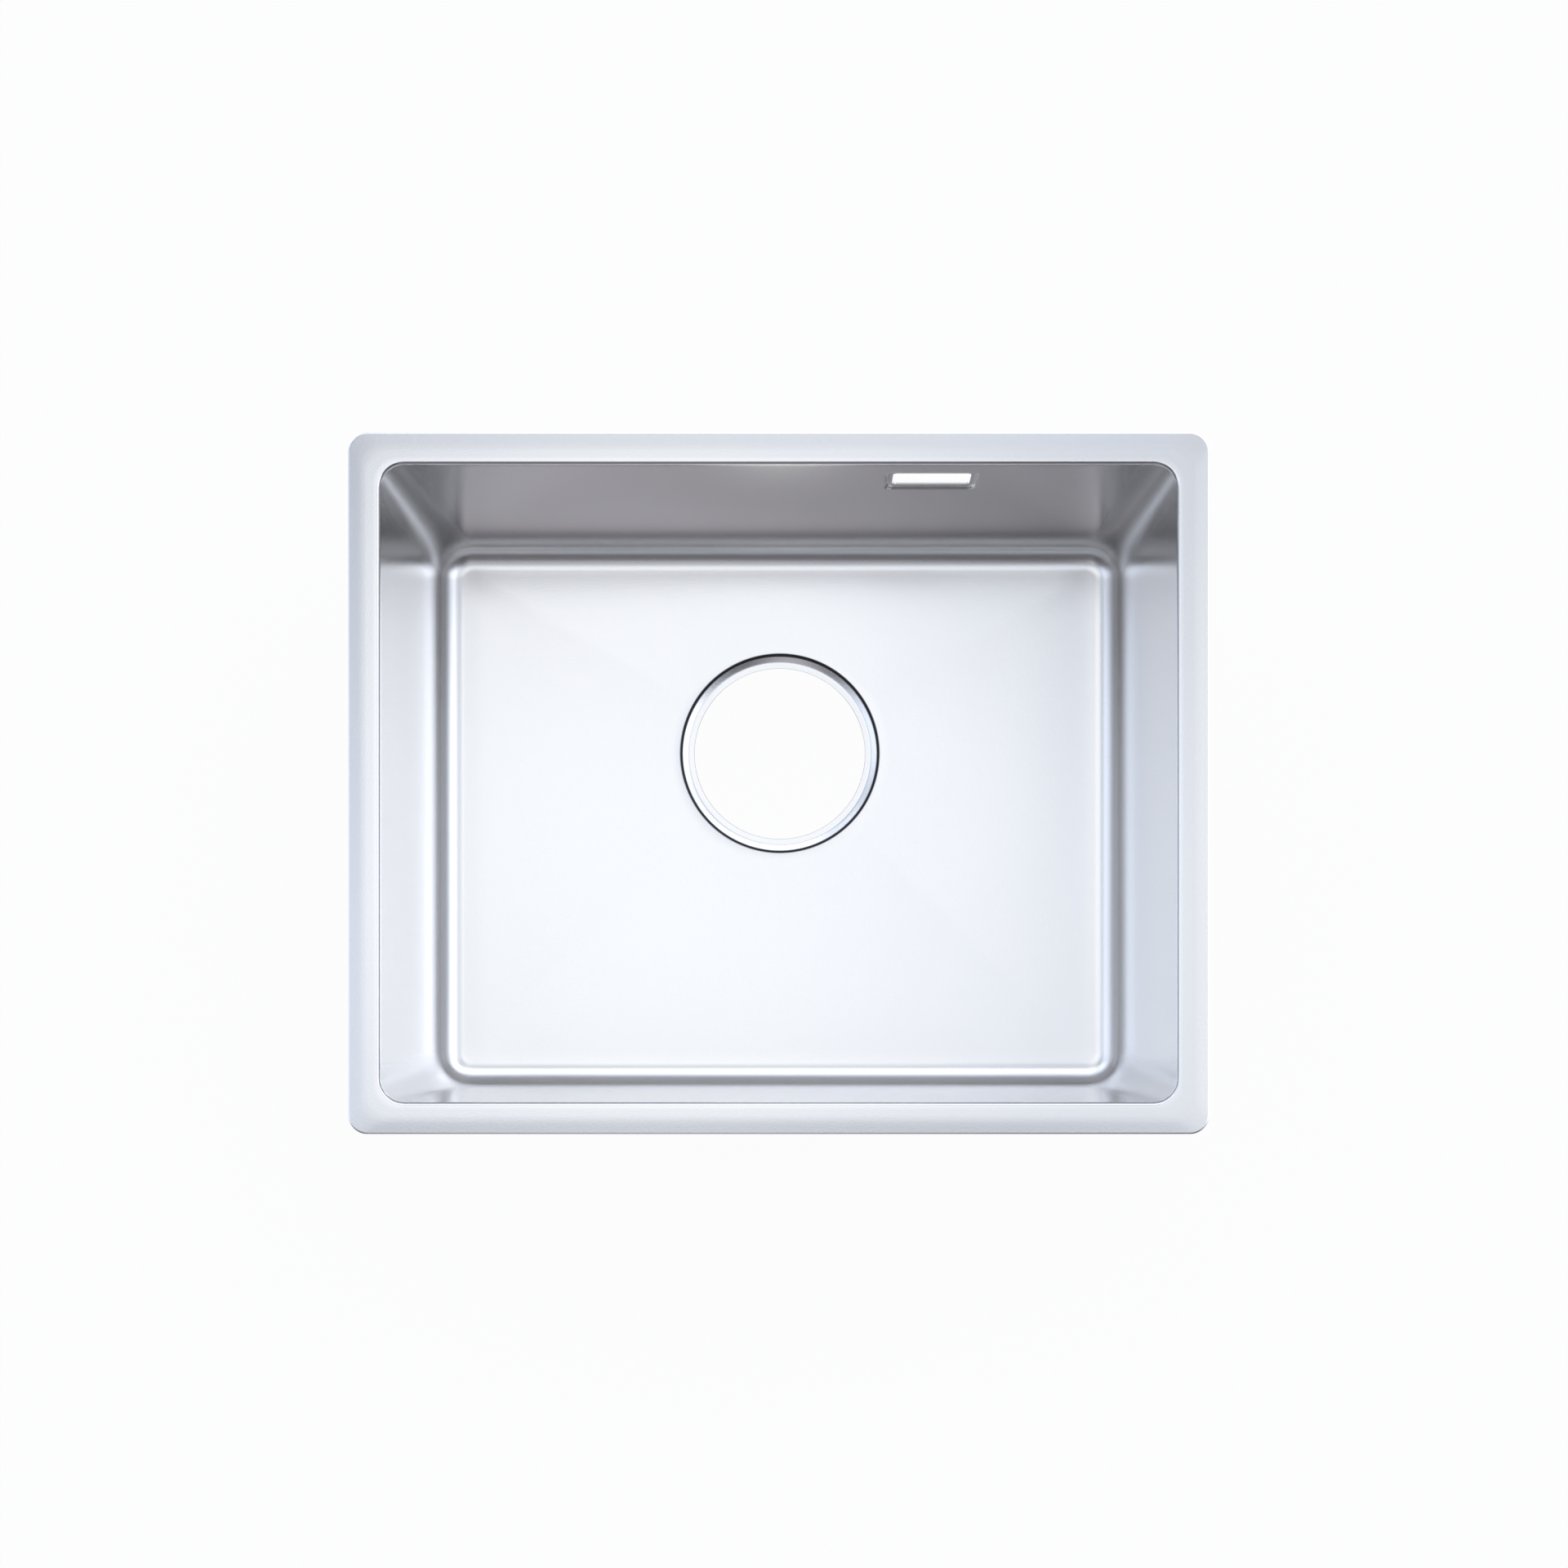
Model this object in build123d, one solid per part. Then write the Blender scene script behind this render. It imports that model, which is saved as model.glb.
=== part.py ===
from build123d import *
import os
from math import atan, cos, degrees, radians, sqrt, tan

# Undermount kitchen sink with one bowl. All sizes are in millimetres.
# X runs from left to right, +Y towards the back wall, +Z up.
# The origin is under the middle of the sink, in the plane that it stands on.

# Pressed bowl and its flat rim, one stainless sheet
outer_length = 540.0            # rim, left to right
outer_width = 440.0             # rim, front to back
outer_corner_radius = 12.0      # corners of the rim, in plan
rim_width = 20.0                # from the bowl's opening to the rim's outer edge
sheet = 1.0                     # thickness of the sheet
bowl_depth = 200.0              # from the rim's top down to the floor's edge
wall_lean = 10.0                # how far each wall leans in over the bowl's depth
bowl_bend_radius = 13.0         # inside, between two walls and between walls and floor
rim_edge_radius = 3.0           # rolled edge from the rim into the walls, on top

# Drain
floor_fall = 2.0                # fall of the floor's dish to the drain recess
dish_edge_gap = 22.0            # dish to the start of the bend under the back wall
drain_back_gap = 155.0          # drain's axis to the back edge of the bowl's opening
recess_radius = 70.0            # round recess that the strainer's flange lies in
recess_step = 2.2               # depth of that recess at its wall
ledge_drop = 0.6                # fall of the ledge from the recess wall to the hole
drain_radius = 61.0             # through hole for the strainer

# Overflow, in the right half of the back wall
overflow_offset = 98.0          # middle of the slot, right of the bowl's middle
overflow_drop = 36.0            # middle of the slot below the rim's top
slot_length = 50.0
slot_height = 23.0
slot_corner_radius = 3.0
plate_border = 3.5              # recess beside each end of the slot
plate_border_height = 5.5       # recess above and below the slot
plate_recess_depth = 1.5        # pressed back from the wall
plate_corner_radius = 4.0

# Rubber pads that deaden the sound, bonded to the outside
base_pad_thickness = 5.5        # also what the sink stands on
base_pad_edge_gap = 8.0         # pad edge to the start of the bowl's lower bend
drain_clearance = 14.0          # pad edge to the drain recess
base_pad_spacing = 10.0         # between neighbouring base pads
side_pad_thickness = 4.0
side_pad_height = 100.0
side_pad_drop = 128.0           # middle of each side pad below the rim's top
long_pad_end_gap = 90.0         # front and back pads to the outside of the bowl's ends
short_pad_end_gap = 80.0        # left and right pads, likewise
pad_corner_radius = 10.0

# Fixings under the rim: weld stud, swinging lug, square washer and wing nut
station_end_gap = 80.0          # front and back studs to the ends of the bowl's opening
rim_edge_margin = 1.0           # parked lug to the rim's outer edge
root_margin = 2.0               # parked lug to the bend under the rim
lug_thickness = 2.5
lug_reach = 38.0                # stud axis to the lug's tip
lug_tip_chamfer = 4.0
screw_hole_setback = 9.0        # wood screw hole back from the tip
screw_hole_radius = 2.25
heel_clearance = 0.3            # heel to the bend under the rim, lug swung out
stud_radius = 2.0
stud_length = 16.0
pivot_clearance = 0.1           # lug's hole round the stud, on radius
stack_gap = 0.2                 # between rim, lug, washer and nut
washer_size = 11.0
washer_thickness = 1.0
washer_clearance = 0.1          # washer's hole round the stud, on radius
hub_across_flats = 8.0
hub_height = 5.0
nut_clearance = 0.075           # nut's bore round the stud, on radius
nut_height = 10.5               # base to the ends of the wings
wing_thickness = 1.9
wing_root_height = 4.0          # wing where it grows out of the hub
wing_end_width = 6.0
nut_wall_clearance = 1.0        # wings to the bowl's wall as the nut turns

# Heights and other sizes that follow from those above
floor_z = base_pad_thickness + sheet
rim_z = floor_z + bowl_depth
rim_under_z = rim_z - sheet
opening_length = outer_length - 2 * rim_width
opening_width = outer_width - 2 * rim_width
lean_slope = wall_lean / bowl_depth
lean_angle = degrees(atan(lean_slope))
wall_width = sheet / cos(radians(lean_angle))
floor_bend_foot = bowl_bend_radius / tan(radians((90 + lean_angle) / 2))
drain_z = floor_z - floor_fall
drain_setback = opening_width / 2 - drain_back_gap
dish_radius = drain_back_gap - wall_lean - floor_bend_foot - dish_edge_gap
under_edge_radius = rim_edge_radius - sheet
long_wall = opening_length / 2
short_wall = opening_width / 2

rim_flat_width = rim_width - sheet - under_edge_radius
lug_width = rim_flat_width - rim_edge_margin - root_margin
lug_half = lug_width / 2
lug_heel = lug_half + root_margin - heel_clearance
stud_inset = rim_edge_margin + lug_half
station_spread = long_wall - station_end_gap
wing_reach = lug_half + root_margin + under_edge_radius - nut_wall_clearance

os.makedirs("parts", exist_ok=True)


def save(name, shape):
    """Write one named piece as its own STEP file."""
    shape.label = name
    export_step(shape, f"parts/{name}.step")


def wall_inset(z):
    """How far the walls have leaned in at height z."""
    return (rim_z - z) * lean_slope


def tub(grow):
    """A block with the bowl's leaning walls, rounded between them and where they meet its flat
    bottom. Its walls and bottom lie outside the bowl's space by grow, square to each face."""
    out = grow / cos(radians(lean_angle))
    height = bowl_depth + grow
    block = Pos(0, 0, rim_z - height / 2) * Box(opening_length + 2 * out, opening_width + 2 * out, height)
    walls = block.faces().filter_by(Axis.Z, reverse=True)
    body = draft(walls, Plane.XY.offset(rim_z), -lean_angle)
    bends = body.edges() - body.edges().group_by(Axis.Z)[-1]
    return fillet(bends, bowl_bend_radius + grow)


def drain_form(*points):
    """The dish, recess and hole as one turned body, from points (radius, height) on its outline."""
    profile = make_face(Polyline(*points, close=True))
    return Pos(0, drain_setback, 0) * revolve(Plane.XZ * profile, Axis.Z)


def back_wall_plane():
    """The inside of the back wall at the overflow: local Z points out, to the back."""
    z = rim_z - overflow_drop
    place = (overflow_offset, short_wall - wall_inset(z), z)
    return Plane(origin=place, x_dir=(1, 0, 0), z_dir=(0, 1, -lean_slope))


def wall_block(plane, length, height, radius, start, end):
    """A block with rounded corners, square to a wall, between two depths along its normal."""
    return plane * Pos(0, 0, start) * extrude(RectangleRounded(length, height, radius), end - start)


def bowl_shell():
    """Return the pressed sheet, and the solid that its outside would fill."""
    step_z = drain_z - recess_step
    ledge_z = step_z - ledge_drop
    bottom_z = ledge_z - 4 * sheet
    plate_length = slot_length + 2 * plate_border
    plate_height = slot_height + 2 * plate_border_height
    wall = back_wall_plane()

    # outside: rim plate, leaning walls, falling floor, drain and overflow recesses
    rim_plan = Pos(0, 0, rim_under_z) * RectangleRounded(outer_length, outer_width, outer_corner_radius)
    outside = tub(sheet) + extrude(rim_plan, sheet)
    rim_roots = outside.edges().filter_by_position(Axis.Z, rim_under_z - 0.01, rim_under_z + 0.01)
    rim_roots = rim_roots.filter_by_position(Axis.X, -long_wall - 2 * sheet, long_wall + 2 * sheet)
    rim_roots = rim_roots.filter_by_position(Axis.Y, -short_wall - 2 * sheet, short_wall + 2 * sheet)
    outside = fillet(rim_roots, under_edge_radius)
    under_z = floor_z - sheet
    cup_radius = recess_radius + sheet
    outside += drain_form((0, under_z), (dish_radius, under_z), (cup_radius, drain_z - sheet),
                          (cup_radius, step_z - sheet), (drain_radius, ledge_z - sheet),
                          (0, ledge_z - sheet))
    outside += wall_block(wall, plate_length + 2 * sheet, plate_height + 2 * sheet,
                          plate_corner_radius + sheet, 0, plate_recess_depth + sheet)

    # inside: the space above the rim and all that the bowl holds
    above = Pos(0, 0, rim_z) * Rectangle(outer_length + rim_width, outer_width + rim_width)
    inside = tub(0.0) + extrude(above, rim_width)
    lip = inside.edges().filter_by_position(Axis.Z, rim_z - 0.01, rim_z + 0.01)
    lip = lip.filter_by_position(Axis.X, -long_wall - sheet, long_wall + sheet)
    lip = lip.filter_by_position(Axis.Y, -short_wall - sheet, short_wall + sheet)
    inside = fillet(lip, rim_edge_radius)
    inside += drain_form((0, floor_z), (dish_radius, floor_z), (recess_radius, drain_z),
                         (recess_radius, step_z), (drain_radius, ledge_z), (drain_radius, bottom_z),
                         (0, bottom_z))
    inside += wall_block(wall, plate_length, plate_height, plate_corner_radius, -sheet, plate_recess_depth)
    inside += wall_block(wall, slot_length, slot_height, slot_corner_radius, 0, 4 * sheet)
    return outside - inside, outside


def base_pad(outside, low, high):
    """A pad between two plan corners, from the ground up to the underside of the floor."""
    length = high[0] - low[0]
    width = high[1] - low[1]
    outline = Pos((low[0] + high[0]) / 2, (low[1] + high[1]) / 2) * RectangleRounded(
        length, width, pad_corner_radius)
    return extrude(outline, floor_z) - outside


def base_pads(outside):
    """The four pads round the drain, on the underside of the floor."""
    reach = wall_lean + floor_bend_foot + base_pad_edge_gap
    end = long_wall - reach
    side = short_wall - reach
    beside = recess_radius + sheet + drain_clearance
    before = drain_setback - beside
    behind = drain_setback + beside
    middle = beside - base_pad_spacing
    pads = {
        "base_pad_left": ((-end, -side), (-beside, side)),
        "base_pad_right": ((beside, -side), (end, side)),
        "base_pad_front": ((-middle, -side), (middle, before)),
        "base_pad_back": ((-middle, behind), (middle, side)),
    }
    for name, (low, high) in pads.items():
        save(name, base_pad(outside, low, high))


def side_pads():
    """One pad on the outside of each wall."""
    z = rim_z - side_pad_drop
    out_x = long_wall + wall_width - wall_inset(z)
    out_y = short_wall + wall_width - wall_inset(z)
    long_pad = opening_length - 2 * long_pad_end_gap
    short_pad = opening_width - 2 * short_pad_end_gap
    walls = {
        "side_pad_front": ((0, -out_y, z), (0, -1, -lean_slope), (1, 0, 0), long_pad),
        "side_pad_back": ((0, out_y, z), (0, 1, -lean_slope), (1, 0, 0), long_pad),
        "side_pad_left": ((-out_x, 0, z), (-1, 0, -lean_slope), (0, 1, 0), short_pad),
        "side_pad_right": ((out_x, 0, z), (1, 0, -lean_slope), (0, 1, 0), short_pad),
    }
    for name, (place, outward, along, length) in walls.items():
        plane = Plane(origin=place, x_dir=along, z_dir=outward)
        save(name, wall_block(plane, length, side_pad_height, pad_corner_radius, 0, side_pad_thickness))


def lug(hand):
    """A flat lug along +X from its stud. Its heel is cut away on the side that passes the wall,
    and square on the other, which meets the wall and stops the lug square to the rim."""
    shoulder_x = lug_reach - lug_tip_chamfer
    shoulder_y = lug_half - lug_tip_chamfer
    outline = make_face(Polyline(
        (-lug_heel, lug_half),
        (shoulder_x, lug_half),
        (lug_reach, shoulder_y),
        (lug_reach, -shoulder_y),
        (shoulder_x, -lug_half),
        (-sqrt(lug_heel**2 - lug_half**2), -lug_half),
        (-lug_heel, 0),
        close=True,
    ))
    outline -= Circle(stud_radius + pivot_clearance)
    outline -= Pos(lug_reach - screw_hole_setback, 0) * Circle(screw_hole_radius)
    plate = extrude(outline, -lug_thickness)
    return plate if hand > 0 else mirror(plate, Plane.XZ)


def washer():
    """A square washer, its top at Z = 0."""
    plate = Rectangle(washer_size, washer_size) - Circle(stud_radius + washer_clearance)
    return extrude(plate, -washer_thickness)


def wing_nut():
    """A wing nut that hangs below its base at Z = 0, with its wings along X."""
    hub = extrude(RegularPolygon(hub_across_flats / 2, 6, major_radius=False), -hub_height)
    end_radius = wing_end_width / 2
    end = RegularPolygon(end_radius, 8, major_radius=False, rotation=22.5)
    end = Pos(wing_reach - end_radius, end_radius - nut_height) * end
    root = Pos(0, -hub_height / 2) * Rectangle(hub_across_flats / 2, wing_root_height)
    wing = extrude(Plane.XZ * make_hull(end.edges() + root.edges()), wing_thickness / 2, both=True)
    body = hub + wing + mirror(wing, Plane.YZ)
    return body - extrude(Circle(stud_radius + nut_clearance), -nut_height)


def weld_stud():
    """A stud that hangs from the rim's underside at Z = 0."""
    return extrude(Circle(stud_radius), -stud_length)


def stations():
    """Each fixing's name, stud place, the angle its parked lug points at, and its hand.
    Hand +1 swings out anticlockwise, seen from above."""
    end_x = outer_length / 2 - stud_inset
    side_y = outer_width / 2 - stud_inset
    return [
        ("front_left", -station_spread, -side_y, 180, 1),
        ("front_right", station_spread, -side_y, 0, -1),
        ("back_left", -station_spread, side_y, 180, -1),
        ("back_right", station_spread, side_y, 0, 1),
        ("left", -end_x, 0, 270, -1),
        ("right", end_x, 0, 270, 1),
    ]


def fixings():
    """The stud, lug, washer and wing nut of every station."""
    lug_z = rim_under_z - stack_gap
    washer_z = lug_z - lug_thickness - stack_gap
    nut_z = washer_z - washer_thickness - stack_gap
    studs = []
    for name, x, y, angle, hand in stations():
        studs.append(Pos(x, y, rim_under_z) * weld_stud())
        save(f"lug_{name}", Location((x, y, lug_z), (0, 0, angle)) * lug(hand))
        save(f"washer_{name}", Pos(x, y, washer_z) * washer())
        save(f"wing_nut_{name}", Location((x, y, nut_z), (0, 0, angle)) * wing_nut())
    save("weld_studs", Compound(children=studs))


shell, filled = bowl_shell()
save("bowl_shell", shell)
base_pads(filled)
side_pads()
fixings()
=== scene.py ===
import math

import bmesh
import bpy
import numpy as np
from mathutils import Matrix, Vector


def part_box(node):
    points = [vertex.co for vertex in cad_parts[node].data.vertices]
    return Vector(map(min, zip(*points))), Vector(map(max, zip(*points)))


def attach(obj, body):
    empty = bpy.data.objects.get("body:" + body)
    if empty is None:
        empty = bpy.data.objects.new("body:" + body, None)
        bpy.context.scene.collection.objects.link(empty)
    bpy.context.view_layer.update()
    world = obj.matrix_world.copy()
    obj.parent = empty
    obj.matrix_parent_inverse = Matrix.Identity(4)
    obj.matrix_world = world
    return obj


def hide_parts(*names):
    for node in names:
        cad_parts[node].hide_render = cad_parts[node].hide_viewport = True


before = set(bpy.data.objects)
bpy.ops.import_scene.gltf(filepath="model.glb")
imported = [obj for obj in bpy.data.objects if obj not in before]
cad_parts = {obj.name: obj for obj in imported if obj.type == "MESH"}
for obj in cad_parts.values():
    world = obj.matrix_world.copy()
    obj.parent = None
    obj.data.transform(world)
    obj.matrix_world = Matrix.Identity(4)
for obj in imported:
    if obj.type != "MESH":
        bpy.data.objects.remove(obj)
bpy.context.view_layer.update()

# ---------------------------------------------------------------------------------------------
# The bowl: one sheet of 1 mm stainless steel, pressed into a flat rim, a rolled edge, four
# leaning walls, a bend all round the floor, a floor that falls to the drain, and the two
# recesses for the fittings. Its face has a fine satin finish. Everything else hangs on it.
MM = 0.001                      # lengths are in millimetres unless they say otherwise
RIM_TOP = 206.5
SHEET = 1.0
OPENING_HALF = (250.0, 200.0)
RIM_WIDTH = 20.0
RIM_HALF = (OPENING_HALF[0] + RIM_WIDTH, OPENING_HALF[1] + RIM_WIDTH)
RIM_CORNER = 12.0
RIM_DROOP = 0.5                 # the rim falls this much to its outer edge
DROOP_START = 12.0              # the droop begins this far in from the edge
DROOP_BLEND = 6.0               # and takes this much to reach its full slope
RIM_ARRIS = {0.0: 0.3, 0.1: 0.09}   # fall of the edge's soft arris at its first two insets
RIM_ARRIS_BELOW = (0.2, 0.06)
WALL_CORNER = 15.0
FOOT_CORNER = 22.0              # the upright corners widen this much to the bend
WALL_SLOPE = 0.05
ROLL_RADIUS = 2.2
BEND_REACH = 16.0               # the bend is a quarter of an ellipse, longer along the floor
BEND_HEIGHT = 10.0
FLOOR_TOP = 6.5
FLOOR_FALL = 2.0
DRAIN_Y = 45.0
HOLE_RADIUS = 61.0
HOLE_ARRIS = 0.15
RECESS_RADIUS = 70.0
EDGE_ROUND = 1.3                # rounded edge of the drain recess
LEDGE_Z = 1.7
CONE_FOOT = 65.3                # the recess's shallow cone comes down to the ledge here
CONE_SLOPE = 0.285
CONE_BLEND = 0.5
SHADE_LINE_RADIUS = 70.3         # painted shade: a dark line round the foot of the recess, for the shadow in its crease
SHADE_LINE_WIDTH = 1.9
OVERFLOW = (98.0, 170.5)        # middle of the overflow, across and up
OVERFLOW_HALF = (28.5, 17.0)
OVERFLOW_CORNER = 4.0
OVERFLOW_DEPTH = 1.5
OVERFLOW_BLEND = 0.7            # half the width of the pressed step
DIMPLES = ((-26.6, -14.9), (26.8, -14.9))
DIMPLE_DEPTH = 0.45
DIMPLE_RADIUS = 1.1
SLOT_HALF = (25.0, 11.5)
SLOT_CORNER = 3.0
PUNCH_REACH = (-6.0, 9.0)       # the slot's punch, from inside the bowl to behind its wall

# how closely the sheet is divided: round a corner, along a side, and near the overflow
CORNER_STEPS = 12
SIDE_STEP = 9.0
FINE_STEP = 0.8
FINE_IN, FINE_OUT = 7.5, 3.5
RIM_INSETS = (0.0, 0.1, 0.35, 1.0, 2.5, 4.5, 6.5, 8.0, 9.0, 10.0, 11.0, 12.0, 13.5, 15.0)
ROLL_STEPS = 10
WALL_RINGS = ((190.0, 4.5), (183.0, 0.7), (158.0, 4.0), (151.5, 0.5), (40.0, 12.0))
WALL_FOOT_STEP = 5.5
BEND_STEPS = 14
FLOOR_STEPS = 24
EDGE_STEPS = 6
LEDGE_RADII = (70.0, 69.0, 68.0, 67.0, 66.5, 66.1, 65.8, 65.5, 65.3, 65.1, 64.8, 64.5, 64.0, 63.0,
               61.2)

slant = math.hypot(1.0, WALL_SLOPE)
wall_turn = math.pi / 2 - math.atan(WALL_SLOPE)


def spread(low, high, step):
    """Evenly spaced values from low to high, about step apart, both ends in."""
    return list(np.linspace(low, high, max(2, int(round(abs(high - low) / step)) + 1)))


def side_fractions(half, fine=()):
    """Places along a straight side, from -1 to 1, closer together inside the fine spans."""
    marks, place = [], -half
    edges = sorted(fine) + [(half, half)]
    for low, high in edges:
        marks += spread(place, low, SIDE_STEP)[:-1]
        if high > low:
            marks += spread(low, high, FINE_STEP)[:-1]
        place = high
    return np.array(marks + [half]) / half


def rounded_loop(half_x, half_y, radius, sides):
    """A rounded rectangle as points, anticlockwise from the right side's front end."""
    turn = np.linspace(0, math.pi / 2, CORNER_STEPS + 1)[1:-1]
    run_x, run_y = half_x - radius, half_y - radius
    right, back, left, front = sides
    spans = [
        (np.full(len(right), half_x), right * run_y),
        (run_x + radius * np.cos(turn), run_y + radius * np.sin(turn)),
        (-back * run_x, np.full(len(back), half_y)),
        (-run_x - radius * np.sin(turn), run_y + radius * np.cos(turn)),
        (np.full(len(left), -half_x), -left * run_y),
        (-run_x - radius * np.cos(turn), -run_y - radius * np.sin(turn)),
        (front * run_x, np.full(len(front), -half_y)),
        (run_x + radius * np.sin(turn), -run_y - radius * np.cos(turn)),
    ]
    return np.concatenate([np.stack(span, 1) for span in spans])


def level(points, z):
    """A ring of plan points at one height."""
    return np.column_stack([points, np.full(len(points), z)])


run_long = OPENING_HALF[0] - WALL_CORNER
run_wide = OPENING_HALF[1] - WALL_CORNER
plain_side = side_fractions(run_wide)
long_side = side_fractions(run_long)
# the back side runs from right to left, so the overflow's two fine spans are negative
overflow_ends = (-OVERFLOW[0] - OVERFLOW_HALF[0], -OVERFLOW[0] + OVERFLOW_HALF[0])
overflow_side = side_fractions(run_long, [
    (overflow_ends[0] - FINE_OUT, overflow_ends[0] + FINE_IN),
    (overflow_ends[1] - FINE_IN, overflow_ends[1] + FINE_OUT)])
bowl_sides = (plain_side, overflow_side, plain_side, long_side)

rings = []
# outer edge and rim: a soft arris, a slight droop, and level beside the bowl
roll_start = ROLL_RADIUS * slant - WALL_SLOPE * ROLL_RADIUS
flat_width = RIM_WIDTH - roll_start
full_droop = DROOP_START / DROOP_BLEND - 0.5
for inset in (*RIM_INSETS, flat_width):
    bent = max((DROOP_START - inset) / DROOP_BLEND, 0.0)
    fall = RIM_DROOP * (bent**2 / 2 if bent < 1 else bent - 0.5) / full_droop
    corner = RIM_CORNER + inset / flat_width * (WALL_CORNER + ROLL_RADIUS - RIM_CORNER)
    plan = rounded_loop(RIM_HALF[0] - inset, RIM_HALF[1] - inset, corner, bowl_sides)
    rings.append(level(plan, RIM_TOP - fall - RIM_ARRIS.get(inset, 0.0)))
rim_rings = len(rings)

# rolled edge into the walls
for turn in np.linspace(0, wall_turn, ROLL_STEPS + 1)[1:]:
    out = roll_start - ROLL_RADIUS * math.sin(turn)
    z = RIM_TOP - ROLL_RADIUS + ROLL_RADIUS * math.cos(turn)
    corner = WALL_CORNER + ROLL_RADIUS * (1 - math.sin(turn))
    plan = rounded_loop(OPENING_HALF[0] + out, OPENING_HALF[1] + out, corner, bowl_sides)
    rings.append(level(plan, z))

# leaning walls, with rings close together where the overflow's recess begins and ends
wall_top = RIM_TOP - ROLL_RADIUS + ROLL_RADIUS * math.cos(wall_turn)
bend_z = FLOOR_TOP + BEND_HEIGHT
bend_start = math.atan(WALL_SLOPE * BEND_HEIGHT / BEND_REACH)
wall_foot = bend_z - BEND_HEIGHT * math.sin(bend_start)
bend_out = -WALL_SLOPE * (RIM_TOP - wall_foot) - BEND_REACH * math.cos(bend_start)
heights = [wall_top]
for z, step in (*WALL_RINGS, (wall_foot, WALL_FOOT_STEP)):
    heights += spread(heights[-1], z, step)[1:]
for z in heights[1:]:
    out = -WALL_SLOPE * (RIM_TOP - z)
    corner = FOOT_CORNER + (WALL_CORNER - FOOT_CORNER) * (z - wall_foot) / (wall_top - wall_foot)
    rings.append(level(rounded_loop(OPENING_HALF[0] + out, OPENING_HALF[1] + out, corner,
                                    bowl_sides), z))

# bend into the floor
for turn in np.linspace(bend_start, math.pi / 2, BEND_STEPS + 1)[1:]:
    out = bend_out + BEND_REACH * math.cos(turn)
    corner = FOOT_CORNER + BEND_REACH * (math.cos(turn) - math.cos(bend_start))
    plan = rounded_loop(OPENING_HALF[0] + out, OPENING_HALF[1] + out, corner, bowl_sides)
    rings.append(level(plan, bend_z - BEND_HEIGHT * math.sin(turn)))

# floor, drawn from the bend to the drain's round edge
foot = rings[-1][:, :2]
drain = np.array([0.0, DRAIN_Y])
bearing = foot - drain
away = np.linalg.norm(bearing, axis=1, keepdims=True)
bearing = bearing / away
brink = RECESS_RADIUS + EDGE_ROUND


def floor_fall(share):
    """Share of the floor's fall that is used at a share of the way from the bend to the drain."""
    return share**2 * (2 - share)


for share in np.linspace(0, 1, FLOOR_STEPS + 1)[1:]:
    reach = away + share * (brink - away)
    rings.append(level(drain + bearing * reach, FLOOR_TOP - FLOOR_FALL * floor_fall(share)))

# drain recess: rounded edge, short wall, a shallow cone, and a level ledge round the hole
brink_z = FLOOR_TOP - FLOOR_FALL
turned = []
for turn in np.linspace(0, math.pi / 2, EDGE_STEPS + 1)[1:]:
    turned.append((brink - EDGE_ROUND * math.sin(turn), brink_z - EDGE_ROUND * (1 - math.cos(turn))))
for radius in LEDGE_RADII:
    past = radius - CONE_FOOT
    turned.append((radius, LEDGE_Z + CONE_SLOPE * (past + math.hypot(past, CONE_BLEND)) / 2))
turned.append((HOLE_RADIUS, LEDGE_Z - HOLE_ARRIS))
for radius, z in turned:
    rings.append(level(drain + bearing * radius, z))

top = np.array(rings)

# overflow recess, pressed back from the wall, with a small dimple in each lower corner
across = top[:, :, 0] - OVERFLOW[0]
up = (top[:, :, 2] - OVERFLOW[1]) * slant
on_back_wall = (top[:, :, 1] > 150.0) & (top[:, :, 2] < wall_top) & (top[:, :, 2] > wall_foot)
past_x = np.abs(across) - (OVERFLOW_HALF[0] - OVERFLOW_CORNER)
past_z = np.abs(up) - (OVERFLOW_HALF[1] - OVERFLOW_CORNER)
outside = np.hypot(np.maximum(past_x, 0), np.maximum(past_z, 0)) - OVERFLOW_CORNER
outside += np.minimum(np.maximum(past_x, past_z), 0)
share = np.clip((OVERFLOW_BLEND - outside) / (2 * OVERFLOW_BLEND), 0, 1)
pressed = OVERFLOW_DEPTH * share**2 * (3 - 2 * share)
for dimple_x, dimple_z in DIMPLES:
    near = np.hypot(across - dimple_x, up - dimple_z)
    pressed += DIMPLE_DEPTH * np.exp(-(near / DIMPLE_RADIUS) ** 2)
pressed = np.where(on_back_wall, pressed, 0.0)
top[:, :, 1] += pressed / slant
top[:, :, 2] -= pressed * WALL_SLOPE / slant

# the sheet's other face lies one thickness behind, and stays level under the rim
along = np.roll(top, -1, axis=1) - np.roll(top, 1, axis=1)
inward = np.gradient(top, axis=0)
normal = np.cross(along, inward)
normal /= np.linalg.norm(normal, axis=2, keepdims=True)
under = top - normal * SHEET
under[:rim_rings] = top[:rim_rings]
under[:rim_rings, :, 2] = RIM_TOP - SHEET
for ring, rise in enumerate(RIM_ARRIS_BELOW):
    under[ring, :, 2] += rise
under[-2] = top[-2] - [0, 0, SHEET]
under[-1] = top[-1] - [0, 0, SHEET - 2 * HOLE_ARRIS]


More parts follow.
